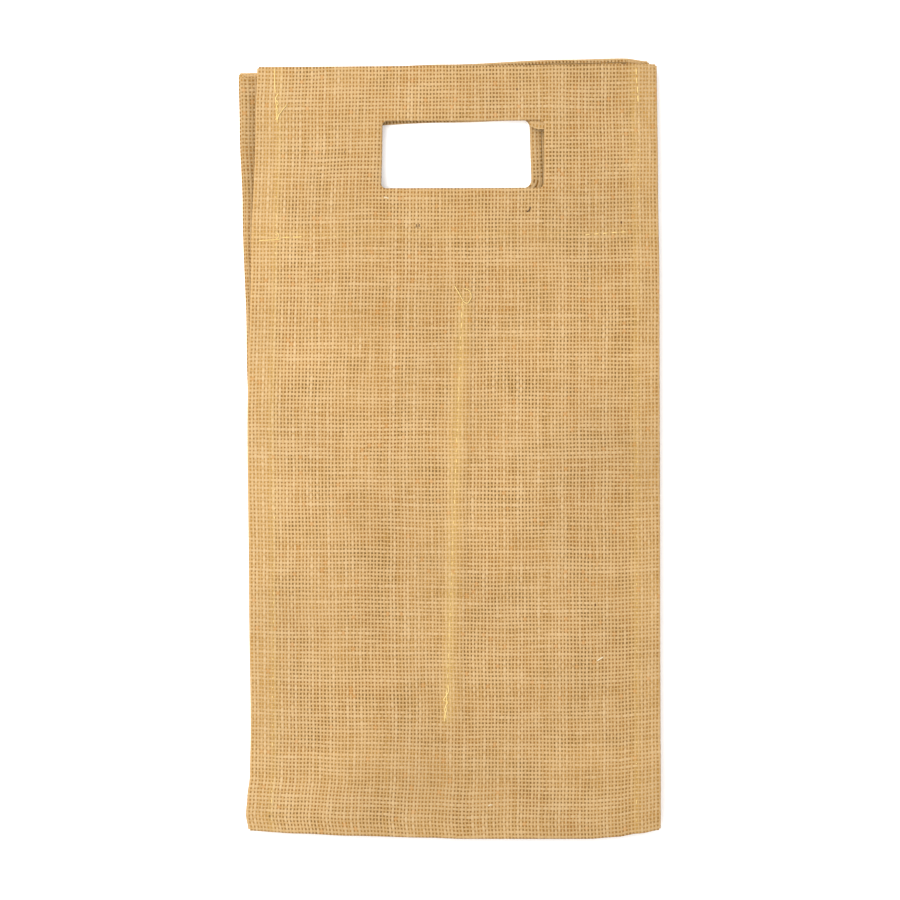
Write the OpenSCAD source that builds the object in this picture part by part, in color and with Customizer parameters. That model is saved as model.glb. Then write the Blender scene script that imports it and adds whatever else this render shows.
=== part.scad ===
// Two-bottle wine gift bag in hessian, folded flat.
// X runs across the bag, Y runs from the bottom fold to the mouth, and the front faces up, along Z.
// The bag lies on its back on Z = 0, and the origin is under its middle.
// Pieces are modelled as the front half of the fold, and the back half is its mirror image.

/* [Bag] */
// Width across the front
bag_width = 200; // [185:1:220]
// Height from the bottom fold to the top edge
bag_height = 378; // [350:1:400]
// Depth when the bag stands open
bag_depth = 90; // [80:1:92]

/* [Cloth] */
// Thickness of one layer of hessian
cloth = 0.9; // [0.7:0.05:1.0]
// Gap between neighbouring layers that move
layer_gap = 0.2; // [0.15:0.05:0.3]
// Width of the edges that are turned in at the side seams
seam_allowance = 12; // [10:1:14]
// Depth of the facing inside the top edge
facing_depth = 84; // [80:1:90]

/* [Hand hole] */
// Width of the hand hole
hole_width = 80; // [72:1:90]
// Height of the hand hole
hole_height = 33; // [30:1:36]
// Distance from the top edge down to the hand hole
hole_drop = 27; // [24:1:30]
// How far the hand hole sits to the right of the middle
hole_offset = 3.5; // [0:0.5:4]
// Corner radius of the hand hole
hole_corner = 2.5; // [1.5:0.5:4]
// Width of the edge that is turned in around the hand hole
hole_turning = 6; // [4:1:8]

/* [Divider] */
// Height of the divider's lower edge
divider_bottom = 57; // [52:1:70]
// Height of the divider's upper edge
divider_top = 267; // [240:1:275]
// Width of the divider's edge that is sewn to a panel
flange_width = 10; // [8:1:12]

/* [Stitching] */
// Diameter of the sewing thread
thread = 0.5; // [0.3:0.1:0.6]
// Length of one stitch
stitch_length = 3.6; // [3:0.2:4]
// Distance from one stitch to the next
stitch_pitch = 5; // [4.6:0.2:7]
// Distance of the top corner tacks from the side edges
corner_tack_inset = 12; // [10:1:14]
// Height of the top corner tacks
corner_tack_height = 28; // [20:1:32]
// Length of the facing tack on the left
left_tack_length = 40; // [30:5:45]
// Length of the facing tack on the right
right_tack_length = 24; // [15:1:30]
// Radius of the loose loop of thread at the top of the middle seam
loop_radius = 2.6; // [2:0.2:3]

/* [Hidden] */
$fn = 48;

hessian = "burlywood";
inner_hessian = "tan";
gusset_hessian = "peru";
yellow_thread = "khaki";

half_width = bag_width / 2;
half_depth = bag_depth / 2;

// Layers from the middle of the folded stack outwards: gusset and divider, then lining and base, then panel
gusset_z = layer_gap / 2;
base_z = gusset_z + cloth + layer_gap;
panel_z = base_z + cloth + layer_gap;
outside_z = panel_z + cloth;
lining_z = panel_z - cloth;

// A folding half stops this far short of its crease, so that the two halves never press together
crease_gap = 0.15;
// Each base half is longer than the gusset's, because it hangs from a layer further out
base_reach = half_depth + base_z - layer_gap / 2;
// Clearance along the slanted ends of the base, which pass the gussets while the bag opens
mitre_gap = 1.6;
// Room at the side edges for the seam thread
seam_thread_room = 1.3;

hole_y = bag_height - hole_drop - hole_height / 2;
facing_y = bag_height - facing_depth;
divider_height = divider_top - divider_bottom;

// Stitches lie in grooves pressed into the panel, flush with its outside
thread_z = outside_z - thread / 2;
groove_width = thread + 0.2;
tack_y = facing_y - 1.5;
left_tack_x = 3 - half_width;
right_tack_x = half_width - 40;
corner_tack_x = half_width - corner_tack_inset;
corner_tack_y = bag_height - corner_tack_height;
corner_tack_length = corner_tack_height - 1;

// Puts a piece of the front half in its place
module on_front() {
  translate([0, -bag_height / 2, outside_z])
    children();
}

// The back's pieces are the front's, mirrored through the middle of the stack
module on_back() {
  on_front()
    mirror([0, 0, 1])
      children();
}

module right_side() {
  mirror([1, 0, 0])
    children();
}

// A rectangle of cloth parallel to the panels
module layer(x, y, width, height, z) {
  translate([x, y, z])
    cube([width, height, cloth]);
}

// A flat outline, extruded to one layer of cloth that starts at z
module outline_layer(z) {
  translate([0, 0, z])
    linear_extrude(height = cloth)
      children();
}

// Rectangle with round corners, centred on the hand hole and grown by a margin
module hole_outline(margin) {
  corner = hole_corner + margin;
  across = hole_width / 2 + margin;
  up = hole_height / 2 + margin;
  translate([hole_offset, hole_y]) {
    square([2 * across, 2 * (up - corner)], center = true);
    square([2 * (across - corner), 2 * up], center = true);
    for (x = [-1, 1], y = [-1, 1])
      translate([x * (across - corner), y * (up - corner)])
        circle(r = corner);
  }
}

// One stitch, lying along Z, from its lower end
module stitch() {
  cylinder(h = stitch_length, d = thread);
}

// A row of stitches that starts at a point and runs a given length along Y
module upright_row(x, y, z, length) {
  for (n = [0 : floor((length - stitch_length) / stitch_pitch)])
    translate([x, y + n * stitch_pitch, z])
      rotate([-90, 0, 0])
        stitch();
}

// A row of stitches that starts at a point and runs a given length along X
module level_row(x, y, z, length) {
  for (n = [0 : floor((length - stitch_length) / stitch_pitch)])
    translate([x + n * stitch_pitch, y, z])
      rotate([0, 90, 0])
        stitch();
}

// Grooves run a little past the ends of their rows, and are open to the outside
module upright_groove(x, y, length) {
  translate([x - groove_width / 2, y - 0.2, outside_z - thread])
    cube([groove_width, length + 0.4, cloth]);
}

module level_groove(x, y, length) {
  translate([x - 0.2, y - groove_width / 2, outside_z - thread])
    cube([length + 0.4, groove_width, cloth]);
}

module panel() {
  color(hessian)
    difference() {
      outline_layer(panel_z)
        difference() {
          translate([-half_width, 0])
            square([bag_width, bag_height]);
          hole_outline(0);
        }
      upright_groove(0, divider_bottom, divider_height);
      level_groove(left_tack_x, tack_y, left_tack_length);
      level_groove(right_tack_x, tack_y, right_tack_length);
      for (side = [-1, 1])
        upright_groove(side * corner_tack_x, corner_tack_y, corner_tack_length);
    }
}

module facing() {
  facing_side = half_width - seam_allowance - layer_gap;
  color(inner_hessian)
    outline_layer(lining_z)
      difference() {
        translate([-facing_side, facing_y])
          square([2 * facing_side, facing_depth]);
        hole_outline(hole_turning + layer_gap);
      }
}

module hole_turned_edge() {
  color(hessian)
    outline_layer(lining_z)
      difference() {
        hole_outline(hole_turning);
        hole_outline(0);
      }
}

// The side seam allowances end above the slanted ends of the base
module seam_allowances() {
  bottom = seam_allowance + mitre_gap;
  color(inner_hessian)
    for (side = [0, 1])
      mirror([side, 0, 0])
        layer(seam_thread_room - half_width, bottom,
          seam_allowance - seam_thread_room, bag_height - bottom, lining_z);
}

module side_seam_stitches() {
  edge_inset = 0.6;
  bottom = 4;
  color(yellow_thread)
    for (side = [-1, 1])
      upright_row(side * (half_width - edge_inset), bottom, panel_z - cloth / 2,
        bag_height - 2 * bottom);
}

module divider_flange() {
  color(inner_hessian)
    layer(-flange_width / 2, divider_bottom, flange_width, divider_height, lining_z);
}

module middle_seam_stitches() {
  color(yellow_thread)
    upright_row(0, divider_bottom, thread_z, divider_height);
}

module facing_tacks() {
  color(yellow_thread) {
    level_row(left_tack_x, tack_y, thread_z, left_tack_length);
    level_row(right_tack_x, tack_y, thread_z, right_tack_length);
  }
}

module corner_tacks() {
  color(yellow_thread)
    for (side = [-1, 1])
      upright_row(side * corner_tack_x, corner_tack_y, thread_z, corner_tack_length);
}

// The loose loop lies on the outside of the front panel
module thread_loop() {
  loop_y = divider_top + loop_radius + 1.5;
  color(yellow_thread)
    translate([-loop_radius, loop_y, outside_z + thread / 2])
      rotate_extrude(angle = 300)
        translate([loop_radius, 0])
          circle(d = thread);
}

// Half of a side gusset, from the seam at the panel's edge to the crease
module gusset_half() {
  color(gusset_hessian)
    layer(-half_width, 0, half_depth - crease_gap, bag_height, gusset_z);
}

// Half of the base, tucked up inside the bag, with its ends slanted at 45 degrees
module base_half() {
  low = crease_gap;
  high = base_reach - crease_gap;
  low_end = half_width - mitre_gap - low;
  high_end = half_width - mitre_gap - high;
  color(gusset_hessian)
    outline_layer(base_z)
      polygon([[-low_end, low], [low_end, low], [high_end, high], [-high_end, high]]);
}

// Half of the divider, folded to the right of the middle seam
module divider_half() {
  color(inner_hessian)
    layer(0, divider_bottom, half_depth - crease_gap, divider_height, gusset_z);
}

on_back() panel();  // back_panel
on_back() facing();  // back_facing
on_back() hole_turned_edge();  // back_hole_turning
on_back() seam_allowances();  // back_seam_allowances
on_back() side_seam_stitches();  // back_side_seam_stitches
on_back() divider_flange();  // back_divider_flange
on_back() middle_seam_stitches();  // back_middle_seam_stitches
on_back() facing_tacks();  // back_facing_tacks
on_back() corner_tacks();  // back_corner_tacks
on_front() panel();  // front_panel
on_front() facing();  // front_facing
on_front() hole_turned_edge();  // front_hole_turning
on_front() seam_allowances();  // front_seam_allowances
on_front() side_seam_stitches();  // front_side_seam_stitches
on_front() divider_flange();  // front_divider_flange
on_front() middle_seam_stitches();  // front_middle_seam_stitches
on_front() facing_tacks();  // front_facing_tacks
on_front() corner_tacks();  // front_corner_tacks
on_front() thread_loop();  // front_thread_loop
on_back() gusset_half();  // left_gusset_back
on_front() gusset_half();  // left_gusset_front
on_back() right_side() gusset_half();  // right_gusset_back
on_front() right_side() gusset_half();  // right_gusset_front
on_back() base_half();  // base_back
on_front() base_half();  // base_front
on_back() divider_half();  // divider_back
on_front() divider_half();  // divider_front
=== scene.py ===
import math
import random

import bmesh
import bpy
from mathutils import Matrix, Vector, noise


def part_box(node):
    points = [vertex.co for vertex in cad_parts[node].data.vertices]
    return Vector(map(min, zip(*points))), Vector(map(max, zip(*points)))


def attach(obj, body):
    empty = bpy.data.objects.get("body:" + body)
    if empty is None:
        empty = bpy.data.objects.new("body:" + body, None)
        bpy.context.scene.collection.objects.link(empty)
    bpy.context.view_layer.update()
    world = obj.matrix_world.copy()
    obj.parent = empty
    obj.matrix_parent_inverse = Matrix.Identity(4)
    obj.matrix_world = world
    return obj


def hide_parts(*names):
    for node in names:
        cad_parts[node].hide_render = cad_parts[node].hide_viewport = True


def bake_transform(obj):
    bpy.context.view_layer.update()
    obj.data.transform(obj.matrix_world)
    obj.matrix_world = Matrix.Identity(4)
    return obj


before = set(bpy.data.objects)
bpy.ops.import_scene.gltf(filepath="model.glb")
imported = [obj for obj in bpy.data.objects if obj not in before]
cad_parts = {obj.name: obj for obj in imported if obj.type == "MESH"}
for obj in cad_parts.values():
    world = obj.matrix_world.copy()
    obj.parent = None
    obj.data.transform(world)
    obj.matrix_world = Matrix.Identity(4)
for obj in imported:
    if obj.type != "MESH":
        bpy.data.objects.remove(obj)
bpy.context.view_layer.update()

# ---------------------------------------------------------------- camera
scene = bpy.context.scene
scene.view_settings.view_transform = "Standard"
FRONT_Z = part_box("front_panel")[1].z
VIEW_WIDTH = 0.439  # at the height of the front panel
LENS = 135
SENSOR = 36
camera_data = bpy.data.cameras.new("camera")
camera_data.lens = LENS
camera_data.sensor_width = SENSOR
camera = bpy.data.objects.new("camera", camera_data)
camera.location = (-0.0024, 0.0003, FRONT_Z + VIEW_WIDTH * LENS / SENSOR)
scene.collection.objects.link(camera)
scene.camera = camera

# ---------------------------------------------------------------- sizes, in mm
panel_low, panel_high = (c * 1000 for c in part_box("front_panel"))
HALF = panel_high.x
TALL = panel_high.y - panel_low.y
BOTTOM = panel_low.y
# Thickness of the cloth in the model, and radius of its turned edges
THICK = 0.8
FOLD = 0.42
# Heights up the bag of the facing's lower edge, the base's fold and the divider's ends
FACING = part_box("front_facing")[0].y * 1000 - BOTTOM
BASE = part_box("base_front")[1].y * 1000 - BOTTOM
DIVIDER_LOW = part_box("divider_front")[0].y * 1000 - BOTTOM
DIVIDER_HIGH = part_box("divider_front")[1].y * 1000 - BOTTOM
# How far in from the side the pleats reach, the width of the side hems, and the depth of the open bag
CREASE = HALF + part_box("left_gusset_front")[1].x * 1000
ALLOWANCE = 12.0
OPEN_DEPTH = 90


def middle_z(node):
    low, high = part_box(node)
    return (low.z + high.z) * 500


Z_PANEL = {"front": middle_z("front_panel"), "back": middle_z("back_panel")}
Z_LINING = {"front": middle_z("front_facing"), "back": middle_z("back_facing")}
Z_BASE = {"front": middle_z("base_front"), "back": middle_z("base_back")}
Z_GUSSET = {"front": middle_z("left_gusset_front"), "back": middle_z("left_gusset_back")}
OUT = {"front": 1, "back": -1}
OTHER = {"front": "back", "back": "front"}
# The two halves of a gusset or of the divider meet in a crease of this height and radius
Z_MIDDLE = (Z_GUSSET["front"] + Z_GUSSET["back"]) / 2
CREASE_RADIUS = (Z_GUSSET["front"] - Z_GUSSET["back"]) / 2
# Distance from the middle of the bag to the gussets' seams
SEAM = HALF - 1.3
# The base's halves are this much short together, which leaves 0.3 mm between them when the bag is open
BASE_SHORT = 1.4
BASE_END = (OPEN_DEPTH + Z_BASE["front"] - Z_BASE["back"] - BASE_SHORT) / 2
# The back half lies a little high, clear of the back panel's turned edges
BASE_LEVEL = {"front": Z_BASE["front"], "back": Z_BASE["back"] + 0.2}


# ---------------------------------------------------------------- curves of the edges
def smooth(a, b, v):
    """0 before a, 1 after b, and an even S between them."""
    k = min(1, max(0, (v - a) / (b - a)))
    return k * k * (3 - 2 * k)


def along(points, v):
    """Value at v on a smooth line through given points (position, value)."""
    if v <= points[0][0]:
        return points[0][1]
    for (a, fa), (b, fb) in zip(points, points[1:]):
        if v <= b:
            return fa + (fb - fa) * smooth(a, b, v)
    return points[-1][1]


# Where the panels' side edges lie: (height, x)
LEFT = {
    "front": [(0, -100.4), (8, -101.6), (16, -100.9), (28, -99.6), (50, -99.3), (120, -100.1), (200, -100.9),
              (282, -99.2), (350, -96.9), (378, -96.1)],
    "back": [(0, -99.0), (120, -99.4), (200, -100.6), (243, -101.6), (311, -103.6), (350, -105.0),
             (378, -105.5)],
}
RIGHT = {
    "front": [(0, 100.0), (150, 99.7), (270, 99.4), (320, 98.7), (378, 98.1)],
    "back": [(0, 99.0), (200, 98.4), (378, 94.6)],
}
# How far the bottom edge and the mouth bow up: (x, rise)
LOW = {
    "front": [(-100, 4.0), (-76, 2.6), (-50, 1.5), (-13, 0.6), (5, 0.0), (65, 0.0), (78, 0.9), (90, 2.7),
              (100, 4.4)],
    "back": [(-100, 4.6), (0, 1.6), (100, 5.2)],
}
HIGH = {
    "front": [(-100, -2.2), (0, -1.6), (100, -0.8)],
    "back": [(-100, -4.6), (-60, -3.4), (0, -0.4), (60, 2.0), (88, 2.6), (100, 1.2)],
}


def lay(side, s, t):
    """Where a point of the flat panel, s across and t up from the bottom fold, lies on the table."""
    left, right = along(LEFT[side], t), along(RIGHT[side], t)
    x = left + (s + HALF) / (2 * HALF) * (right - left)
    low, high = along(LOW[side], s), along(HIGH[side], s)
    k = t / TALL
    y = t + low * (1 - k) ** 3 + high * k ** 2
    return x, BOTTOM + y


# The hand holes, in the flat cloth: left, right, low and high edges, and corner radius
HOLE = {"front": (-37.4, 44.2, 317.9, 351.6), "back": (-38.4, 42.0, 316.2, 350.2)}
HOLE_CORNER = {"front": 2.8, "back": 4.4}
# How far the facings stop short of the holes
HOLE_MARGIN = 5.3
# Margin round a hole that is left out of the grid and filled by a ring
GAP = 5.5


# ---------------------------------------------------------------- relief of the panels
def rough(x, y, size, seed):
    return noise.noise(Vector((x / size, y / size, seed)))


def middle_seam(t):
    """Place across of the front's middle seam, which leans a little to the right."""
    return -4.4 + (t - 57) * 8.0 / 205


def flange_x(t):
    """Place across of the middle of the divider's flange, behind the front's seam."""
    return -1.8 + (t - 57) * 6.7 / 210


def base_fold(s):
    """Height of the fold of the tucked-up base, which shows through the front."""
    return BASE - 5.5 + 3.0 * smooth(-100, 100, s)


def beside_divider(t, before, after):
    """1 along the divider and 0 above and below it; each end fades from before to after its place."""
    low = smooth(DIVIDER_LOW - before, DIVIDER_LOW + after, t)
    return low * (1 - smooth(DIVIDER_HIGH - before, DIVIDER_HIGH + after, t))


def relief(side, s, t):
    """How far the outside of a panel stands out from its plane."""
    if side == "back":
        return -0.08 * (1 + rough(s, t, 40, 3.1))
    # Side hems and the facing
    hem = smooth(86.2, 89.0, abs(s))
    h = 0.34 * hem
    h += 0.3 * smooth(FACING - 2.5, FACING + 1.5, t) * (1 - hem)
    # The divider's flange, and the seam pulled into it
    ends = beside_divider(t, 2, 2)
    h += ends * 0.4 * (1 - smooth(3.4, 5.8, abs(s - flange_x(t))))
    h -= ends * 0.2 * math.exp(-((s - middle_seam(t)) / 1.4) ** 2)
    # The base inside, with the dent above its fold and the slanting creases of its corners
    fold = base_fold(s)
    h += 0.75 * (1 - smooth(fold - 3.0, fold + 1.5, t))
    h -= 0.25 * math.exp(-((t - fold - 1.0) / 1.6) ** 2)
    for corner in (-1, 1):
        across = (t - 2) - (HALF - corner * s)
        reach = 1 - smooth(30, 46, t)
        h -= 0.3 * reach * math.exp(-(across / 1.8) ** 2)
    # Unevenness, and a crease that runs from the hand hole's lower right corner
    h += 0.5 * (rough(s, t, 62, 1.7) + 0.55 * rough(s, t, 26, 4.4))
    crease = (s - 43) * 0.757 + (t - 315) * 0.654
    side_of = (s - 43) * 0.654 - (t - 315) * 0.757
    h += 0.35 * math.exp(-(crease / 2.2) ** 2) * smooth(-2, 3, side_of) * (1 - smooth(20, 30, side_of))
    # The turned edge of the hand hole is thicker, and rounds off towards the hole
    a, b, c, d = HOLE[side]
    away = max(a - s, s - b, c - t, t - d)
    h += 0.26 * (1 - smooth(4.6, 6.6, away)) - 0.34 * (1 - smooth(0.0, 2.6, away))
    return h + 0.35


def sewn_tint(s, t):
    """How yellow the cloth is along a line of stitches, from the thread inside it."""
    tint = 0.34 * beside_divider(t, 4, 2) * math.exp(-((s - middle_seam(t) - 0.4) / 2.8) ** 2)
    tint = max(tint, 0.24 * math.exp(-((abs(s) - 88.2) / 1.5) ** 2))
    return max(tint, 0.14 * math.exp(-((t - FACING - 1.5) / 1.8) ** 2))


def folded_under(side, s, t):
    """Height of the panel's turned edge at a place."""
    return Z_PANEL[side] + OUT[side] * (relief(side, s, t) - 2 * FOLD)


def double(s, t):
    """How much of a second layer lies behind the panel, from 0 to 1."""
    bands = 0.8 * smooth(87.0, 88.2, abs(s))
    bands = max(bands, 0.05 * smooth(FACING - 0.6, FACING + 0.6, t))
    bands = max(bands, 0.6 * beside_divider(t, 1, 1) * (1 - smooth(4.3, 5.2, abs(s - flange_x(t)))))
    fold = base_fold(s)
    return max(bands, 0.3 * (1 - smooth(fold - 1, fold + 1, t)))


def constant(value):
    """A function of the place on the cloth that is the same everywhere."""
    return lambda s, t: value


# ---------------------------------------------------------------- meshes of cloth
def steps(*spans):
    """Grid lines from spans (start, end, largest step), without repeats."""
    out = []
    for a, b, step in spans:
        n = max(1, math.ceil((b - a) / step - 1e-6))
        out += [a + (b - a) * k / n for k in range(n + 1)]
    out.sort()
    kept = [out[0]]
    for v in out[1:]:
        if v - kept[-1] > 0.05:
            kept.append(v)
    return kept


def turn(c, edge, radius):
    """A line of cloth that turns back under itself at an edge: (place along the line, depth below it)."""
    sign = 1 if c >= 0 else -1
    over = abs(c) - (edge - radius)
    if over <= 0:
        return c, 0.0
    if over < math.pi * radius:
        a = over / radius
        return sign * (edge - radius + radius * math.sin(a)), radius * (1 - math.cos(a))
    return sign * (edge - radius - (over - math.pi * radius)), 2 * radius


SHARP = math.radians(65)


class Sheet:
    """A grid of cloth being built: points in mm, with the flat place of each on the weave."""

    def __init__(self, name):
        self.name = name
        self.mesh = bmesh.new()
        self.flat = self.mesh.verts.layers.float_vector.new("flat")
        self.back = self.mesh.verts.layers.float.new("backing")
        self.tint = self.mesh.verts.layers.float.new("tint")

    def point(self, place, flat, backing=0.0, tint=0.0):
        v = self.mesh.verts.new(Vector(place) / 1000)
        v[self.flat] = Vector((flat[0] / 1000, flat[1] / 1000, 0))
        v[self.back] = backing
        v[self.tint] = tint
        return v

    def face(self, *verts):
        self.mesh.faces.new(verts)

    def finish(self, material):
        """Makes the object, with the cloth's thickness, from the points and faces so far."""
        bmesh.ops.recalc_face_normals(self.mesh, faces=self.mesh.faces)
        uv = self.mesh.loops.layers.uv.new("weave")
        for f in self.mesh.faces:
            f.smooth = True
            for loop in f.loops:
                loop[uv].uv = loop.vert[self.flat].xy
        data = bpy.data.meshes.new(self.name)
        self.mesh.to_mesh(data)
        self.mesh.free()
        piece = bpy.data.objects.new(self.name, data)
        scene.collection.objects.link(piece)
        solid = piece.modifiers.new("thickness", "SOLIDIFY")
        solid.thickness = THICK / 1000
        solid.offset = 0
        solid.use_even_offset = False
        graph = bpy.context.evaluated_depsgraph_get()
        made = bpy.data.meshes.new_from_object(piece.evaluated_get(graph))
        piece.modifiers.clear()
        piece.data = made
        made.set_sharp_from_angle(angle=SHARP)
        made.materials.clear()
        made.materials.append(material)
        return piece


def rounded(hole, corner, p, grow):
    """Nearest point to p on a rounded rectangle grown by a margin, and the direction outwards there."""
    x0, x1, y0, y1 = hole
    cx = min(max(p[0], x0 + corner), x1 - corner)
    cy = min(max(p[1], y0 + corner), y1 - corner)
    d = Vector((p[0] - cx, p[1] - cy))
    if d.length < 1e-6:
        d = Vector((0, 1))
    d.normalize()
    return Vector((cx, cy)) + d * (corner + grow), d


def ring_path(turned):
    """Rows of the ring round a hole: share of the way to the rim, place past it, depth, length turned in."""
    if not turned:
        return [(k, 0.0, 0.0, 0.0) for k in (0.4, 0.75, 1.0)]
    path = [(k, FOLD, 0.0, 0.0) for k in (0.3, 0.6, 0.85, 1.0)]
    for n in range(1, 7):
        a = math.pi * n / 6
        path.append((1.0, FOLD - FOLD * math.sin(a), FOLD * (1 - math.cos(a)), FOLD * a))
    return path + [(1.0, FOLD + r, 2 * FOLD, math.pi * FOLD + r) for r in (1.5, 3.0, 4.6)]


def cut_ring(sheet, ring, hole, corner, grow, place, turned, backing):
    """Joins the edge of the gap in a grid to a rounded hole grown by a margin, and can turn the edge in."""
    rows = [ring]
    flats = [(v[sheet.flat].x * 1000, v[sheet.flat].y * 1000) for v in ring]
    targets = [rounded(hole, corner, p, grow) for p in flats]
    for k, out, depth, arc in ring_path(turned):
        row = []
        for p, (q, n) in zip(flats, targets):
            edge = q + n * out
            rim = q + n * (FOLD if turned else 0)
            at = Vector(p).lerp(edge, k) if k < 1 else edge
            flat = Vector(p).lerp(rim, k) if k < 1 else rim - n * arc
            row.append(sheet.point(place(at.x, at.y, depth), flat, backing(at.x, at.y)))
        rows.append(row)
    for a, b in zip(rows, rows[1:]):
        for i in range(len(a)):
            j = (i + 1) % len(a)
            sheet.face(a[i], a[j], b[j], b[i])


def grid(sheet, across, up, place, keep=constant(True), backing=constant(0.0), hole=None,
         flat=lambda s, t: (s, t), tint=constant(0.0)):
    """A grid of quads, less the cells that keep() refuses or that lie in hole; returns the hole's ring."""
    points = {}

    def vert(i, j):
        if (i, j) not in points:
            s, t = across[i], up[j]
            points[i, j] = sheet.point(place(s, t), flat(s, t), backing(s, t), tint(s, t))
        return points[i, j]

    gone = []
    for i in range(len(across) - 1):
        for j in range(len(up) - 1):
            s, t = (across[i] + across[i + 1]) / 2, (up[j] + up[j + 1]) / 2
            if hole and hole[0] < s < hole[1] and hole[2] < t < hole[3]:
                gone.append((i, j))
                continue
            if keep(s, t):
                sheet.face(vert(i, j), vert(i + 1, j), vert(i + 1, j + 1), vert(i, j + 1))
    if not gone:
        return None
    i0, i1 = min(g[0] for g in gone), max(g[0] for g in gone) + 1
    j0, j1 = min(g[1] for g in gone), max(g[1] for g in gone) + 1
    loop = [(i, j0) for i in range(i0, i1)] + [(i1, j) for j in range(j0, j1)]
    loop += [(i, j1) for i in range(i1, i0, -1)] + [(i0, j) for j in range(j1, j0, -1)]
    return [vert(i, j) for i, j in loop]


def hole_lines(low, high, after=4):
    """Grid spans across a hand hole and its margins, closer at its edges."""
    return [(low - GAP - 4, low - GAP, 2), (low - GAP, low + 6, 1.6), (low + 6, high - 6, 3.2),
            (high - 6, high + GAP, 1.6), (high + GAP, high + GAP + after, 2)]


def gap_round(side):
    """The part of the flat cloth that a grid leaves out round a hand hole."""
    a, b, c, d = HOLE[side]
    return a - GAP, b + GAP, c - GAP, d + GAP


def panel(side):
    """A panel with its sides, top and bottom turned in, and its hand hole."""
    sheet = Sheet(side + "_cloth")
    radius = FOLD
    turn_s = HALF - radius + math.pi * radius
    a, b, c, d = HOLE[side]
    out = OUT[side]

    across = steps((-turn_s - ALLOWANCE + 1.5, -turn_s, 3.6), (-turn_s, -HALF + radius, 0.22),
                   (-HALF + radius, -HALF + 16, 1.6), (-HALF + 16, a - GAP - 4, 3.6), *hole_lines(a, b),
                   (b + GAP + 4, HALF - 16, 3.6), (-8, 12, 0.9), (HALF - 16, HALF - radius, 1.6),
                   (HALF - radius, turn_s, 0.22), (turn_s, turn_s + ALLOWANCE - 1.5, 3.6))
    low_end = -math.pi * radius + radius
    high_end = TALL - radius + math.pi * radius
    up = steps((low_end - 1.2, low_end, 1.2), (low_end, radius, 0.22), (radius, BASE + 8, 1.8),
               (BASE + 8, FACING - 6, 3.8), (FACING - 6, FACING + 4, 1.2), (FACING + 4, c - GAP - 4, 3.2),
               *hole_lines(c, d, 3), (d + GAP + 3, TALL - radius, 2.4), (TALL - radius, high_end, 0.22),
               (high_end, high_end + 1.2, 1.2))

    def place(s, t, depth=0.0):
        ps, ds = turn(s, HALF, radius)
        mid = TALL / 2
        pt, dt = turn(t - mid, mid, radius)
        pt += mid
        x, y = lay(side, ps, pt)
        # The turned edges keep their place under the panel
        z = Z_PANEL[side] + out * (relief(side, ps, pt) - ds - dt - depth)
        return x, y, z

    def keep(s, t):
        beyond_s = abs(s) > turn_s
        over_s = abs(s) > HALF - radius
        over_t = t < radius or t > TALL - radius
        if beyond_s and (t < BASE + 2 or over_t):
            return False
        return not (over_s and over_t)

    tint = sewn_tint if side == "front" else constant(0.0)
    ring = grid(sheet, across, up, place, keep, double, gap_round(side), tint=tint)
    cut_ring(sheet, ring, HOLE[side], HOLE_CORNER[side], 0, place, True, double)
    return sheet


def facing(side):
    """The lining of a panel's top, with a hole that stops short of the panel's turned edge."""
    sheet = Sheet(side + "_facing_cloth")
    a, b, c, d = HOLE[side]
    out = OUT[side]
    edge = HALF - ALLOWANCE - 0.6
    across = steps((-edge, a - GAP - 4, 3.6), *hole_lines(a, b), (b + GAP + 4, edge, 3.6))
    up = steps((FACING, FACING + 4, 1.5), (FACING + 4, c - GAP - 4, 3.6), *hole_lines(c, d, 3),
               (d + GAP + 3, TALL - 1.9, 2.4))

    def place(s, t, depth=0.0):
        x, y = lay(side, s, t)
        return x, y, Z_LINING[side] + out * (relief(side, s, t) - depth)

    ring = grid(sheet, across, up, place, backing=constant(1.0), hole=gap_round(side))
    cut_ring(sheet, ring, HOLE[side], HOLE_CORNER[side], HOLE_MARGIN, place, False, constant(1.0))
    return sheet


def flange(side):
    """The edge of the divider that is sewn flat to a panel."""
    sheet = Sheet(side + "_flange_cloth")
    out = OUT[side]

    def place(s, t):
        centre = flange_x(t) if side == "front" else 0
        x, y = lay(side, s + centre, t)
        return x, y, Z_LINING[side] + out * relief(side, s + centre, t)

    grid(sheet, steps((-4.8, 4.8, 1.2)), steps((DIVIDER_LOW, DIVIDER_HIGH, 3)), place, backing=constant(1.0))
    return sheet


# The part of the flat panel that the crumpled corner covers
CORNER_ACROSS = (36.6, 44.9)
CORNER_UP = (348.2, 353.6)


def hole_corner():
    """The crumpled end of the turned edge that looks out of the front hole's upper right corner."""
    sheet = Sheet("front_hole_corner_cloth")

    def place(s, t):
        ragged = 1.3 * smooth(37, 41, s) + 0.5 * rough(s, 0, 1.6, 7.7)
        t -= ragged * (1 - smooth(348.2, 352, t))
        x, y = lay("front", s, t)
        lift = 0.35 + 0.45 * rough(s, t, 2.1, 5.2) + 0.5 * (1 - smooth(348.2, 349.6, t))
        return x, y, Z_LINING["front"] + lift

    grid(sheet, steps((*CORNER_ACROSS, 0.5)), steps((*CORNER_UP, 0.45)), place, backing=constant(1.0))
    return sheet


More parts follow.
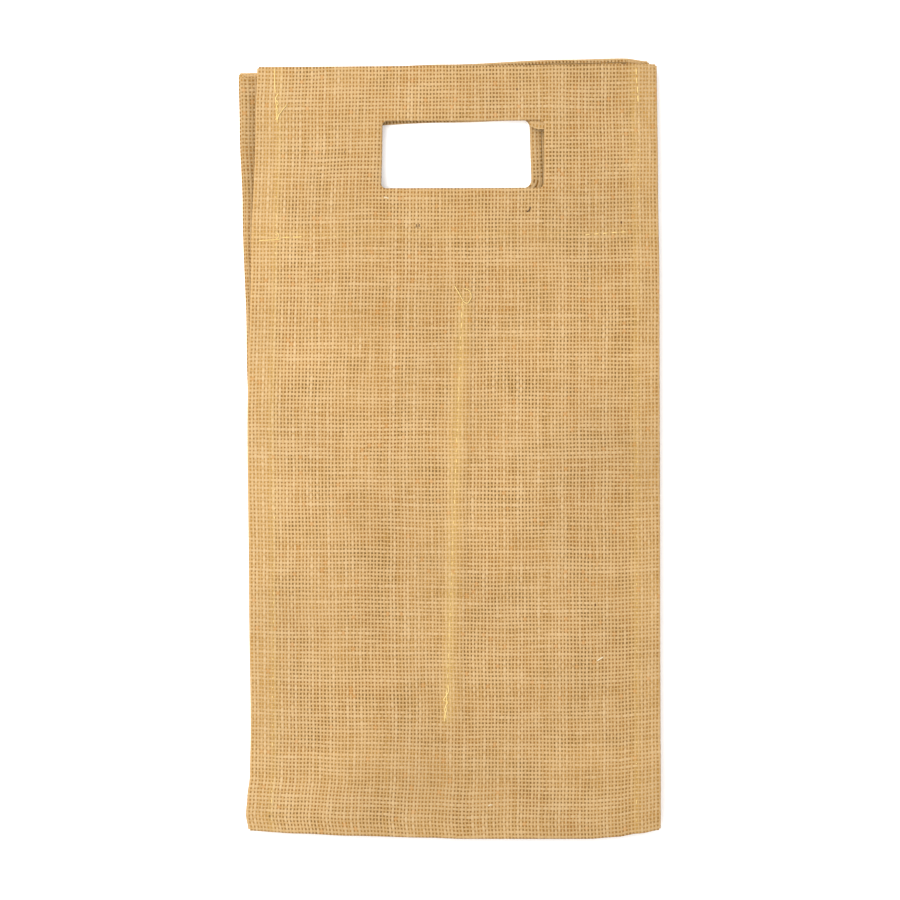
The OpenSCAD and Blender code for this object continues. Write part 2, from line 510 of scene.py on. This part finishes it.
def base(side):
    """Half of the base, tucked up inside the bag, with its edge drawn to the panel's bottom fold."""
    sheet = Sheet("base_" + side + "_cloth")
    level = BASE_LEVEL[side]

    def place(s, t):
        x, y = lay(side, s, max(t, 1.6))
        # The bottom fold's bow dies out away from it, so that the inner edge is straight
        y -= along(LOW[side], s) * smooth(8, BASE_END, t) * (1 - t / TALL) ** 3
        if t > 1:
            return s, y, level
        return x, y, folded_under(side, s, 0) if side == "front" else level - 0.75

    def flat(s, t):
        return s, t if t > 1 else -1.5 - 1.2 * along(LOW[side], s)

    up = [1.0] + steps((1.6, 8, 2.2), (8, BASE_END, 3))
    grid(sheet, steps((-HALF + 0.9, HALF - 0.9, 4)), up, place, backing=constant(0.4), flat=flat)
    return sheet


def pleat(side, inward, seam, crease, tab_z):
    """Place across and height of a point of half a pleat, inward from its seam; before the seam, its tab."""
    run = abs(crease - seam)
    hand = 1 if crease > seam else -1
    if inward > run:
        a = (inward - run) / CREASE_RADIUS
        return crease + hand * CREASE_RADIUS * math.sin(a), Z_MIDDLE + OUT[side] * CREASE_RADIUS * math.cos(a)
    level = Z_GUSSET[side]
    if inward < 0:
        level += (tab_z - level) * -inward
    return seam + hand * max(inward, 0), level


# A gusset's crease, the flat cloth from its seam to there, and the width of the whole gusset
CREASE_X = HALF - CREASE + CREASE_RADIUS
RUN = SEAM - CREASE_X
WHOLE = 2 * RUN + math.pi * CREASE_RADIUS
# Where the left pleat shows past the front, its seam edge is rolled and stands up in a ridge
ROLL = 0.38
RIDGE = 1.9


def gusset_place(hand, side, s, t):
    """A point of half a gusset, s inward from the seam; hand is -1 left, 1 right."""
    seam = lay(side, hand * SEAM, t)[0]
    y, other_y = (lay(word, hand * (SEAM - min(RUN, max(0, s))), t)[1] for word in (side, OTHER[side]))
    y += (other_y - y) / 2 * smooth(0, RUN, s)
    stretch = abs(hand * CREASE_X - seam) / RUN
    rolled = hand < 0 and side == "back"
    if rolled and s < 0:
        a = min(math.pi, -s / ROLL)
        x = seam + hand * (ROLL * math.sin(a) - max(0, -s - math.pi * ROLL))
        z = Z_GUSSET[side] - ROLL * (1 - math.cos(a))
    else:
        inward = s if s < 0 else s * stretch if s < RUN else s + (stretch - 1) * RUN
        x, z = pleat(side, inward, seam, hand * CREASE_X, folded_under(side, hand * SEAM, t))
    if rolled:
        z += RIDGE * smooth(150, 290, t) * (1 - smooth(1.0, 4.6, s))
    return x, y, z


# The crease of a half that ends there reaches a little past the apex
PAST_APEX = 0.16
APEX = WHOLE / 2 + PAST_APEX
# A pleat's first millimetre is drawn up to its panel's turned edge
TAB = 1.0
UP = steps((0.8, 40, 3.4), (40, TALL - 2.6, 4.2))


def unfolded(side, s, t, whole):
    """Place of a point of a pleat on the flat cloth; the steep tab counts three times its width."""
    s = 3 * s if s < 0 else s
    return (s if side == "back" else whole - s), t


def gusset_piece(hand, name, parts):
    """One sheet of a gusset; parts are (side, from, to) inward from the seam."""
    sheet = Sheet(name)

    def add(side, start, end):
        spans = [(max(start, 0), min(end, RUN), 3.4)]
        if end > RUN:
            spans.append((RUN, end, 0.16))
        if start < 0:
            spans.append((start, 0, 0.22))
        grid(sheet, steps(*spans), UP, lambda s, t: gusset_place(hand, side, s, t), backing=constant(0.3),
             flat=lambda s, t: unfolded(side, s, t, WHOLE))

    for part in parts:
        add(*part)
    bmesh.ops.remove_doubles(sheet.mesh, verts=sheet.mesh.verts, dist=1e-6)
    return sheet


def divider(side):
    """Half of the divider, from its seam on the panel's flange to the crease."""
    sheet = Sheet("divider_" + side + "_cloth")
    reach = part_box("divider_front")[1].x * 1000
    seam = 0.4
    run = reach - CREASE_RADIUS - seam
    end = run + math.pi / 2 * CREASE_RADIUS

    def place(s, t):
        x, z = pleat(side, s, seam, reach - CREASE_RADIUS, Z_LINING[side] + OUT[side] * 0.1)
        if side == "front":
            x += flange_x(t) * smooth(0, 1, -s)
        return x, BOTTOM + t, z

    across = steps((-TAB, 0, 0.25), (0, run, 3.6), (run, end + PAST_APEX, 0.16))
    grid(sheet, across, steps((DIVIDER_LOW, DIVIDER_HIGH, 3.6)), place, backing=constant(0.8),
         flat=lambda s, t: unfolded(side, s, t, 2 * end))
    return sheet


# ---------------------------------------------------------------- node graphs
class Value:
    """A socket that can be used in sums."""

    def __init__(self, graph, socket):
        self.graph, self.socket = graph, socket

    def __add__(self, other):
        return self.graph.math("ADD", self, other)

    __radd__ = __add__

    def __mul__(self, other):
        return self.graph.math("MULTIPLY", self, other)

    def __sub__(self, other):
        return self.graph.math("SUBTRACT", self, other)

    def __rsub__(self, other):
        return self.graph.math("SUBTRACT", other, self)

    def __truediv__(self, other):
        return self.graph.math("DIVIDE", self, other)


class Graph:
    """Short ways to put down and join shader nodes."""

    def __init__(self, tree):
        self.tree = tree

    def put(self, kind, **settings):
        node = self.tree.nodes.new(kind)
        for key, value in settings.items():
            setattr(node, key, value)
        return node

    def link(self, value, socket):
        if isinstance(value, Value):
            self.tree.links.new(value.socket, socket)
        else:
            socket.default_value = value

    def math(self, operation, *values):
        node = self.put("ShaderNodeMath", operation=operation)
        for value, socket in zip(values, node.inputs):
            self.link(value, socket)
        return Value(self, node.outputs[0])

    def vector(self, x, y, z=0.0):
        node = self.put("ShaderNodeCombineXYZ")
        for value, socket in zip((x, y, z), node.inputs):
            self.link(value, socket)
        return Value(self, node.outputs[0])

    def noise(self, x, y, z, scale=1.0, detail=0.0):
        node = self.put("ShaderNodeTexNoise")
        self.link(self.vector(x, y, z), node.inputs["Vector"])
        node.inputs["Scale"].default_value = scale
        node.inputs["Detail"].default_value = detail
        return Value(self, node.outputs[0])

    def random(self, x, y):
        node = self.put("ShaderNodeTexWhiteNoise", noise_dimensions="2D")
        self.link(self.vector(x, y), node.inputs["Vector"])
        return Value(self, node.outputs["Value"])

    def step(self, a, b, value):
        node = self.put("ShaderNodeMapRange", interpolation_type="SMOOTHSTEP")
        self.link(value, node.inputs["Value"])
        self.link(a, node.inputs["From Min"])
        self.link(b, node.inputs["From Max"])
        return Value(self, node.outputs["Result"])

    def mix(self, factor, a, b):
        node = self.put("ShaderNodeMix", data_type="RGBA", clamp_factor=True)
        self.link(factor, node.inputs["Factor"])
        self.link((*a, 1) if isinstance(a, tuple) else a, node.inputs[6])
        self.link((*b, 1) if isinstance(b, tuple) else b, node.inputs[7])
        return Value(self, node.outputs[2])

    def attribute(self, name):
        """A value that the cloth's points carry."""
        return Value(self, self.put("ShaderNodeAttribute", attribute_name=name).outputs["Fac"])

    def split(self, socket):
        node = self.put("ShaderNodeSeparateXYZ")
        self.tree.links.new(socket, node.inputs[0])
        return [Value(self, part) for part in node.outputs]

    def scale(self, colour, by):
        node = self.put("ShaderNodeVectorMath", operation="SCALE")
        self.link(colour, node.inputs[0])
        self.link(by, node.inputs["Scale"])
        return Value(self, node.outputs[0])


def new_material(name):
    """A material with its graph and its shader node."""
    material = bpy.data.materials.new(name)
    material.use_nodes = True
    return material, Graph(material.node_tree), material.node_tree.nodes["Principled BSDF"]


# Distance between yarns, in metres, and the colours of yarns, of the gaps (painted shade of the layers behind
# them), of bark and of cloth with thread inside
PITCH_X = 0.001676
PITCH_Y = 0.001928
LIGHT = (0.53, 0.365, 0.188)
WARM = (0.442, 0.258, 0.09)
GAP_SHADE_DARK = (0.125, 0.056, 0.005)
GAP_SHADE_RUST = (0.205, 0.078, 0.008)
GAP_SHADE_PALE = (0.36, 0.19, 0.042)
BIT = (0.1, 0.04, 0.01)
RUSTY = (0.44, 0.18, 0.035)
SEWN = (0.6, 0.42, 0.12)


def hessian(name, seed, tone=1.0):
    """Plain-woven jute: yarns over and under each other, with slubs, gaps and loose fibres."""
    material, g, shader = new_material(name)
    x, y, _ = g.split(g.put("ShaderNodeUVMap", uv_map="weave").outputs[0])
    backing, tint = g.attribute("backing"), g.attribute("tint")

    # Yarns wander a little; u and v count them
    wide_x = g.noise(x, y, seed, scale=26, detail=1) - 0.5
    wide_y = g.noise(x, y, seed + 4.1, scale=26, detail=1) - 0.5
    fine_x = g.noise(x, y, seed + 8.2, scale=330, detail=1) - 0.5
    fine_y = g.noise(x, y, seed + 12.3, scale=330, detail=1) - 0.5
    u = x / PITCH_X + wide_x * 0.8 + fine_x * 0.28
    v = y / PITCH_Y + wide_y * 0.9 + fine_y * 0.28
    iu, iv = g.math("FLOOR", u), g.math("FLOOR", v)
    fu, fv = u - iu - 0.5, v - iv - 0.5

    # Each yarn has its own width and tone, with slubs along it
    own_u, own_v = g.random(iu, seed + 0.5), g.random(iv, seed + 7.5)
    slub_u = g.noise(iu * 7.31, v * 0.11, seed + 20, detail=2)
    slub_v = g.noise(u * 0.09, iv * 6.17, seed + 30, detail=2)
    half_u = 0.285 + (own_u - 0.5) * 0.06 + (slub_u - 0.5) * 0.33
    half_v = 0.27 + (own_v - 0.5) * 0.06 + (slub_v - 0.5) * 0.33
    round_u = g.math("SQRT", g.math("MAXIMUM", 1 - g.math("POWER", fu / half_u, 2.0), 0.0))
    round_v = g.math("SQRT", g.math("MAXIMUM", 1 - g.math("POWER", fv / half_v, 2.0), 0.0))
    wave_u = g.math("COSINE", (v - 0.5 + iu) * math.pi)
    wave_v = g.math("COSINE", (u - 0.5 + iv) * math.pi)
    there_u = g.math("GREATER_THAN", round_u, 0.0)
    there_v = g.math("GREATER_THAN", round_v, 0.0)
    high_u = wave_u * 0.4 + round_u * 0.75 - (1 - there_u) * 3
    high_v = wave_v * -0.4 + round_v * 0.75 - (1 - there_v) * 3
    top = g.math("MAXIMUM", g.math("MAXIMUM", high_u, high_v), -1.1)
    upright = g.math("GREATER_THAN", high_u, high_v)
    gap = 1 - g.math("MAXIMUM", there_u, there_v)

    # Tone of the yarn on top
    fibre_u = g.noise(u * 14, v * 2.2, seed + 40, detail=2)
    fibre_v = g.noise(u * 2.2, v * 14, seed + 50, detail=2)
    tone_u = 0.54 + (own_u - 0.5) * 0.45 + (slub_u - 0.5) * 1.0 + (fibre_u - 0.5) * 0.8
    tone_v = 0.46 + (own_v - 0.5) * 0.3 + (slub_v - 0.5) * 1.0 + (fibre_v - 0.5) * 0.8
    yarn = tone_v + (tone_u - tone_v) * upright
    colour = g.mix(yarn, WARM, LIGHT)
    # Painted shade: each yarn is darker where it dips under the crossing yarns
    lit = g.step(-0.55, 1.15, top)
    cloud = g.noise(x, y, seed + 60, scale=14, detail=2)
    # Painted shade: the cloth is a little darker towards the right, away from the key light at the left, and
    # towards the bottom and the mouth
    painted_falloff = 1 - g.step(-0.09, 0.09, x) * 0.04 - (1 - g.step(0.02, 0.14, y)) * 0.03
    painted_falloff = painted_falloff - g.step(0.275, 0.32, y) * 0.035
    shade = (0.71 + lit * 0.32) * (0.94 + (cloud - 0.5) * 0.26) * painted_falloff * tone
    colour = g.scale(colour, shade)

    # Painted shade in the gaps: the shaded layers behind show dark brown and rusty, paler where a second
    # layer lies close behind
    cell_x, cell_y = g.math("FLOOR", u + 0.5), g.math("FLOOR", v + 0.5)
    own_cell = g.random(cell_x, cell_y)
    own_column = g.random(cell_x, seed + 3.3)
    region = g.noise(x, y, seed + 70, scale=38, detail=2)
    pale = backing * 0.55 + own_cell * 0.32 + (own_column - 0.5) * 0.3 + (region - 0.5) * 1.2 + 0.08
    # The painted shade in the gaps shifts between dark brown and rust from place to place
    gap_hue = g.step(0.38, 0.62, g.noise(x, y, seed + 80, scale=70, detail=3))
    gap_colour = g.mix(pale, g.mix(gap_hue, GAP_SHADE_DARK, GAP_SHADE_RUST), GAP_SHADE_PALE)
    colour = g.mix(gap * (0.82 + own_cell * 0.18), colour, gap_colour)

    # Dark bits of bark, thread inside the cloth, and rusty bits of yarn
    bit = g.step(0.99962, 0.99968, g.random(cell_x + 31.7, cell_y + seed))
    spread = g.math("POWER", u - cell_x, 2.0) * 1.6 + g.math("POWER", v - cell_y, 2.0) * 0.7
    colour = g.mix(bit * (1 - g.step(0.04, 0.16, spread)), colour, BIT)
    colour = g.mix(tint * (0.35 + gap * 0.4), colour, SEWN)
    rust = g.step(0.985, 0.992, g.random(iu + 11.1, iv + seed))
    colour = g.mix(rust * 0.3, colour, RUSTY)

    bump = g.put("ShaderNodeBump")
    bump.inputs["Distance"].default_value = 0.00032
    bump.inputs["Strength"].default_value = 0.65
    g.link(top + (yarn - 0.5) * 0.25, bump.inputs["Height"])
    g.tree.links.new(bump.outputs[0], shader.inputs["Normal"])
    g.link(colour, shader.inputs["Base Color"])
    shader.inputs["Roughness"].default_value = 0.88
    shader.inputs["Specular IOR Level"].default_value = 0.2
    material.diffuse_color = (*WARM, 1)
    return material


def strand_material(name, dark, light):
    """Twisted thread or fibre, mottled between two colours."""
    material, g, shader = new_material(name)
    x, y, z = g.split(g.put("ShaderNodeTexCoord").outputs["Object"])
    twist = g.math("SINE", (x + y) * 9000 + z * 5000)
    patch = g.noise(x, y, z, scale=240, detail=2)
    g.link(g.mix(patch + twist * 0.12, dark, light), shader.inputs["Base Color"])
    bump = g.put("ShaderNodeBump")
    bump.inputs["Distance"].default_value = 0.00006
    g.link(twist, bump.inputs["Height"])
    g.tree.links.new(bump.outputs[0], shader.inputs["Normal"])
    shader.inputs["Roughness"].default_value = 0.6
    return material


FABRIC = {
    "hessian": hessian("hessian", 3.0),
    "hessian_back": hessian("hessian_back", 57.0),
    "hessian_gusset": hessian("hessian_gusset", 91.0, 0.94),
    "hessian_inside": hessian("hessian_inside", 133.0, 0.98),
}
THREAD = strand_material("thread", (0.6, 0.41, 0.12), (0.78, 0.58, 0.25))
LINT = strand_material("lint", (0.56, 0.45, 0.27), (0.8, 0.7, 0.52))
BARK = strand_material("bark", (0.05, 0.022, 0.006), (0.12, 0.06, 0.018))


# ---------------------------------------------------------------- cloth pieces
def declare(piece, flat, nodes, area=None):
    """Hides the CAD nodes that a piece of cloth stands for; its flat size in mm is not kept."""
    if nodes:
        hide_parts(*nodes)
    tuple(v / 1000 for v in flat)
    return piece


MM = 0.001
# Two heights for each base half, which the loop below reads but does not use
BASE_HEIGHT = {"front": (5.6, 5.3), "back": (1.05, 1.3)}
for side in ("front", "back"):
    cloth = panel(side).finish(FABRIC["hessian" if side == "front" else "hessian_back"])
    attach(cloth, side)
    declare(cloth, (2 * (HALF + ALLOWANCE), TALL + 6),
            [side + "_panel", side + "_seam_allowances", side + "_hole_turning"])
    inner = facing(side).finish(FABRIC["hessian_inside"])
    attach(inner, side)
    a, b, c, d = HOLE[side]
    hole_area = (b - a + 2 * HOLE_MARGIN) * (d - c + 2 * HOLE_MARGIN)
    facing_size = (2 * (HALF - ALLOWANCE), TALL - FACING)
    declare(inner, facing_size, [side + "_facing"],
            area=(facing_size[0] * facing_size[1] - hole_area) / 1e6)
    strip = flange(side).finish(FABRIC["hessian_inside"])
    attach(strip, side)
    declare(strip, (10, DIVIDER_HIGH - DIVIDER_LOW), [side + "_divider_flange"])
    half = base(side).finish(FABRIC["hessian_gusset"])
    low, high = BASE_HEIGHT[side]
    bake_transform(half)
    declare(half, (2 * HALF, BASE), ["base_" + side])

corner = hole_corner().finish(FABRIC["hessian"])
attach(corner, "front")
corner_area = (CORNER_ACROSS[1] - CORNER_ACROSS[0]) * (CORNER_UP[1] - CORNER_UP[0])
declare(corner, (10, 10), [], area=corner_area / 1e6)

# Heights at each side's pleat seam edge, which the code below reads but does not use
SEAM_HEIGHT = {"front": (4.75, 4.25), "back": (1.7, 2.15)}


def at_height(x, z):
    return x * MM, 0, z * MM


def gusset(hand, name, parts, flat_width, nodes):
    """A finished sheet of a gusset."""
    piece = gusset_piece(hand, name, parts).finish(FABRIC["hessian_gusset"])
    declare(piece, (flat_width, TALL), nodes)
    return piece


# The left gusset is three sheets, cut this far in from its seams
CUT = 22.0
ROLLED_EDGE = math.pi * ROLL + 1.0
left_back = gusset(-1, "left_gusset_back_cloth", [("back", -ROLLED_EDGE, CUT)], CUT + 2, ["left_gusset_back"])
at_height(-100.5, Z_MIDDLE)
at_height(-93, Z_MIDDLE)
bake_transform(left_back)
left_pleat = gusset(-1, "left_gusset_pleat_cloth", [("back", CUT, WHOLE / 2), ("front", CUT, WHOLE / 2)],
                    WHOLE - 2 * CUT, [])
at_height(-55, Z_MIDDLE - 0.08)
at_height(-55, Z_MIDDLE + 0.08)
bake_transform(left_pleat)
left_front = gusset(-1, "left_gusset_front_cloth", [("front", -TAB, CUT)], CUT + 2, ["left_gusset_front"])
right_back = gusset(1, "right_gusset_back_cloth", [("back", -TAB, APEX)], WHOLE / 2, ["right_gusset_back"])
right_front = gusset(1, "right_gusset_front_cloth", [("front", -TAB, APEX)], WHOLE / 2,
                     ["right_gusset_front"])
for piece, word, side in ((left_front, "left", "front"), (right_back, "right", "back"),
                          (right_front, "right", "front")):
    low, high = SEAM_HEIGHT[side]
    at_height(0, low)
    at_height(0, high)
    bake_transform(piece)

for side in ("front", "back"):
    half = divider(side).finish(FABRIC["hessian_inside"])
    low, high = SEAM_HEIGHT[side]
    at_height(0, low)
    at_height(0, high)
    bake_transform(half)
    declare(half, (CREASE, DIVIDER_HIGH - DIVIDER_LOW), ["divider_" + side])

# ---------------------------------------------------------------- thread
def on_cloth(side, x, t, lift):
    """A point x across and t up the bag, a lift above the outside of a panel."""
    left, right = along(LEFT[side], t), along(RIGHT[side], t)
    s = (x - left) / (right - left) * 2 * HALF - HALF
    z = Z_PANEL[side] + OUT[side] * (relief(side, s, t) + THICK / 2 + lift)
    return Vector((x, BOTTOM + t, z))


def curve(points):
    """Points on a smooth line through the given ones, four to a stretch."""
    if len(points) < 3:
        return points
    out = []
    full = [points[0] * 2 - points[1], *points, points[-1] * 2 - points[-2]]
    for a, b, c, d in zip(full, full[1:], full[2:], full[3:]):
        for k in (0, 0.25, 0.5, 0.75):
            bend = (2 * a - 5 * b + 4 * c - d) * k * k + (3 * b - a - 3 * c + d) * k ** 3
            out.append(0.5 * (2 * b + (c - a) * k + bend))
    return out + [points[-1]]


TUBE_SIDES = 6


def tubes(name, lines, material):
    """One mesh of thin round strands, each a line of points in mm with a radius."""
    mesh = bmesh.new()
    for points, radius in lines:
        rings = []
        for i, p in enumerate(points):
            ahead = (points[min(i + 1, len(points) - 1)] - points[max(i - 1, 0)]).normalized()
            across = ahead.cross(Vector((0, 0, 1)))
            across = across.normalized() if across.length > 1e-3 else Vector((1, 0, 0))
            up = across.cross(ahead)
            r = radius * (0.5 if i in (0, len(points) - 1) else 1)
            ring = []
            for k in range(TUBE_SIDES):
                a = 2 * math.pi * k / TUBE_SIDES
                ring.append(mesh.verts.new((p + (across * math.cos(a) + up * math.sin(a)) * r) / 1000))
            rings.append(ring)
        for a, b in zip(rings, rings[1:]):
            for k in range(TUBE_SIDES):
                j = (k + 1) % TUBE_SIDES
                mesh.faces.new((a[k], a[j], b[j], b[k]))
        mesh.faces.new(rings[0])
        mesh.faces.new(rings[-1])
    bmesh.ops.recalc_face_normals(mesh, faces=mesh.faces)
    for f in mesh.faces:
        f.smooth = True
    data = bpy.data.meshes.new(name)
    mesh.to_mesh(data)
    mesh.free()
    data.materials.append(material)
    piece = bpy.data.objects.new(name, data)
    scene.collection.objects.link(piece)
    return piece


stitch_chance = random.Random(5)


def stitches(side, line, length=3.4, pitch=5.0, radius=0.27, lift=0.02):
    """Stitches along a line of (x, t) points, each sinking into the cloth at its ends."""
    points = [Vector(p) for p in line]
    spans = [(b - a).length for a, b in zip(points, points[1:])]
    out = []
    at = 0.4
    while at + length < sum(spans):
        stitch = []
        for k, high in ((0, -0.32), (0.2, 0.0), (0.5, 0.1), (0.8, 0.0), (1, -0.32)):
            d = at + length * k
            i = 0
            while i < len(spans) - 1 and d > spans[i]:
                d -= spans[i]
                i += 1
            p = points[i].lerp(points[i + 1], d / spans[i])
            stitch.append(on_cloth(side, p.x, p.y, high + lift))
        shift = stitch_chance.uniform(-0.12, 0.12)
        out.append(([p + Vector((shift, 0, 0)) for p in stitch], radius * stitch_chance.uniform(0.9, 1.1)))
        at += pitch
    return out


def strand(line, radius=0.3, lift=0.15):
    """A loose thread on the front, along (x, t) points."""
    return curve([on_cloth("front", x, t, lift) for x, t in line]), radius


def sewn(name, lines, body, node):
    """A piece of thread that rides with a panel and stands for a CAD node."""
    piece = tubes(name, lines, THREAD)
    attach(piece, body)
    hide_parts(node)


def caught(name, lines, material):
    """Loose bits of fibre caught in the front's weave."""
    piece = tubes(name, [strand(line, radius, lift) for line, radius, lift in lines], material)
    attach(piece, "front")


caught("front_lint", [
    ([(69.2, 86.4), (70.8, 87.4), (72.4, 88.4)], 0.32, 0.1),
    ([(16.2, 15.6), (17.2, 16.3), (18.3, 16.2)], 0.26, 0.08),
    ([(-34.6, 312.6), (-33.4, 312.4), (-32.2, 312.0)], 0.3, 0.1),
    ([(-25.0, 173.5), (-18.0, 173.9), (-11.0, 173.6)], 0.4, -0.36),
], LINT)
caught("front_bark", [
    ([(35.0, 305.4), (36.2, 306.2), (36.9, 307.8)], 0.3, 0.06),
    ([(-18.9, 297.8), (-18.8, 299.4)], 0.3, 0.0),
    ([(-17.4, 298.0), (-17.3, 299.6)], 0.28, 0.0),
    ([(-18.8, 298.5), (-17.4, 298.7)], 0.2, 0.0),
    ([(-54.2, 334.0), (-53.4, 335.4)], 0.26, -0.05),
], BARK)

# The middle seam, with its lower end sewn back over itself
MIDDLE_SEAM = [(middle_seam(t), t) for t in (262, 246, 57)]
sewn("front_middle_seam_thread", [
    *stitches("front", MIDDLE_SEAM[:2]),
    *stitches("front", MIDDLE_SEAM[1:], lift=-0.25),
    strand([(-3.3, 74.8), (-3.2, 71.4), (-5.0, 68.3), (-5.3, 67.2), (-3.4, 66.4), (-4.4, 64.7), (-4.1, 62.5),
            (-5.0, 59.6), (-5.0, 56.6)]),
    strand([(-4.2, 73), (-4.0, 66), (-4.9, 63), (-4.2, 57.5)]),
], "front", "front_middle_seam_stitches")
sewn("front_loop_thread", [
    strand([(-0.3, 269.5), (1.3, 266.8), (2.8, 264.2), (4.0, 262.0), (5.9, 260.8), (7.7, 263.0), (7.8, 265.5),
            (6.5, 267.3), (4.4, 268.0)], 0.24, 0.5),
], "front", "front_thread_loop")
# The facing's lower edge: a loose end and open stitches at the left, then nearly hidden ones
sewn("front_facing_thread", [
    strand([(-95.7, 291.4), (-90.1, 291.7), (-87.6, 291.8), (-85.1, 292.2)], 0.27, 0.06),
    strand([(-87.6, 295.7), (-86.0, 294.5), (-86.2, 292.9), (-87.6, 291.8)], 0.22, 0.3),
    strand([(-84.2, 293.0), (-82.0, 293.0), (-80.4, 293.1)], 0.3, 0.08),
    strand([(-79.0, 293.2), (-76.7, 293.1), (-74.5, 293.3)], 0.3, 0.08),
    *stitches("front", [(-74.0, 293.3), (-53.0, 293.6)], 3.0, 4.6, 0.24, -0.2),
    *stitches("front", [(62.5, 294.2), (84.6, 295.8)], 3.4, 4.4, 0.28, -0.2),
    *stitches("front", [(-52.0, 293.7), (62.0, 294.2)], 3.2, 4.6, 0.23, -0.27),
], "front", "front_facing_tacks")
# The top corners, with a tangle of thread at the left, and the side hems below them
sewn("front_corner_thread", [
    strand([(-88.0, 375.0), (-87.9, 371.0), (-87.7, 365.0), (-87.5, 363.2)], 0.27, 0.05),
    strand([(-86.1, 363.2), (-87.0, 361.6), (-87.5, 360.3), (-86.1, 358.4), (-87.1, 356.7), (-86.9, 352.0),
            (-86.5, 348.8)], 0.27),
    strand([(-87.4, 361.6), (-87.2, 358.0), (-86.3, 354.5), (-86.4, 351.2), (-87.7, 350.5)], 0.27, 0.2),
    strand([(-86.6, 350.0), (-85.9, 352.4), (-85.3, 353.4), (-83.4, 356.0), (-81.8, 357.8)], 0.23, 0.4),
    strand([(-88.2, 376.0), (-88.1, 373.0)], 0.27, 0.02),
    *stitches("front", [(88.4, 376.0), (88.8, 368.0), (89.6, 358.0)], 3.6, 4.4, 0.28),
    *stitches("front", [(-87.2, 347.0), (-87.6, 200.0), (-89.5, 6.0)], 3.4, 4.6, 0.25, -0.3),
    *stitches("front", [(89.7, 356.0), (89.0, 200.0), (88.4, 6.0)], 3.4, 4.6, 0.25, -0.3),
], "front", "front_corner_tacks")


def side_seam(side, seed):
    """Stitches that join a panel to its gussets, inside the bag at both sides."""
    lines = []
    chance = random.Random(seed)
    for hand in (-1, 1):
        t = 4.0
        while t < TALL - 6:
            x, y = lay(side, hand * (HALF - 0.75), t)
            x2, y2 = lay(side, hand * (HALF - 0.75), t + 3.4)
            z = Z_GUSSET[side] + OUT[side] * 1.02
            stitch = [(x - hand * 0.4, y, z), (x + hand * 0.1, y + 0.8, z + 0.05),
                      (x2 + hand * 0.1, y2 - 0.8, z - 0.05), (x2 - hand * 0.4, y2, z)]
            lines.append(([Vector(p) for p in stitch], 0.24))
            t += 5 + chance.uniform(-0.15, 0.15)
    sewn(side + "_side_seam_thread", lines, side, side + "_side_seam_stitches")


side_seam("front", 11)
side_seam("back", 12)
BACK_THREAD = {
    "middle_seam_thread": ("middle_seam_stitches", [(0, DIVIDER_HIGH), (0, DIVIDER_LOW)]),
    "facing_thread": ("facing_tacks", [(-95, 292.5), (-58, 292.5)], [(60, 292.5), (84, 292.5)]),
    "corner_thread": ("corner_tacks", [(-89, 350), (-89, 375)], [(84, 350), (84, 375)]),
}
for name, (node, *lines) in BACK_THREAD.items():
    row = [stitch for line in lines for stitch in stitches("back", line, lift=-0.2)]
    sewn("back_" + name, row, "back", "back_" + node)

# ---------------------------------------------------------------- floor and light
FLOOR_HALF = 6.0
floor_mesh = bpy.data.meshes.new("floor")
floor_corners = [(-1, -1), (1, -1), (1, 1), (-1, 1)]
floor_mesh.from_pydata([(x * FLOOR_HALF, y * FLOOR_HALF, 0) for x, y in floor_corners], [], [(0, 1, 2, 3)])
floor = bpy.data.objects.new("floor", floor_mesh)
floor.location.z = -0.0001
scene.collection.objects.link(floor)
white, g, shader = new_material("floor")
grain = g.put("ShaderNodeTexNoise")
grain.inputs["Scale"].default_value = 3
g.tree.links.new(g.put("ShaderNodeTexCoord").outputs["Object"], grain.inputs["Vector"])
g.link(g.mix(Value(g, grain.outputs[0]), (0.95, 0.95, 0.95), (0.97, 0.97, 0.97)), shader.inputs["Base Color"])
shader.inputs["Roughness"].default_value = 0.9
# A faint glow keeps the shadows round the bag pale
shader.inputs["Emission Color"].default_value = (1, 1, 1, 1)
shader.inputs["Emission Strength"].default_value = 0.12
floor_mesh.materials.append(white)

world = bpy.data.worlds.new("world")
scene.world = world
world.use_nodes = True
world.node_tree.nodes["Background"].inputs[0].default_value = (1, 1, 1, 1)
world.node_tree.nodes["Background"].inputs[1].default_value = 1.2

key_data = bpy.data.lights.new("key", "AREA")
key_data.size = 0.9
key_data.energy = 12.6
key = bpy.data.objects.new("key", key_data)
key.location = (-0.6, 0.32, 0.92)
key.rotation_euler = (-key.location).to_track_quat("-Z", "Y").to_euler()
scene.collection.objects.link(key)
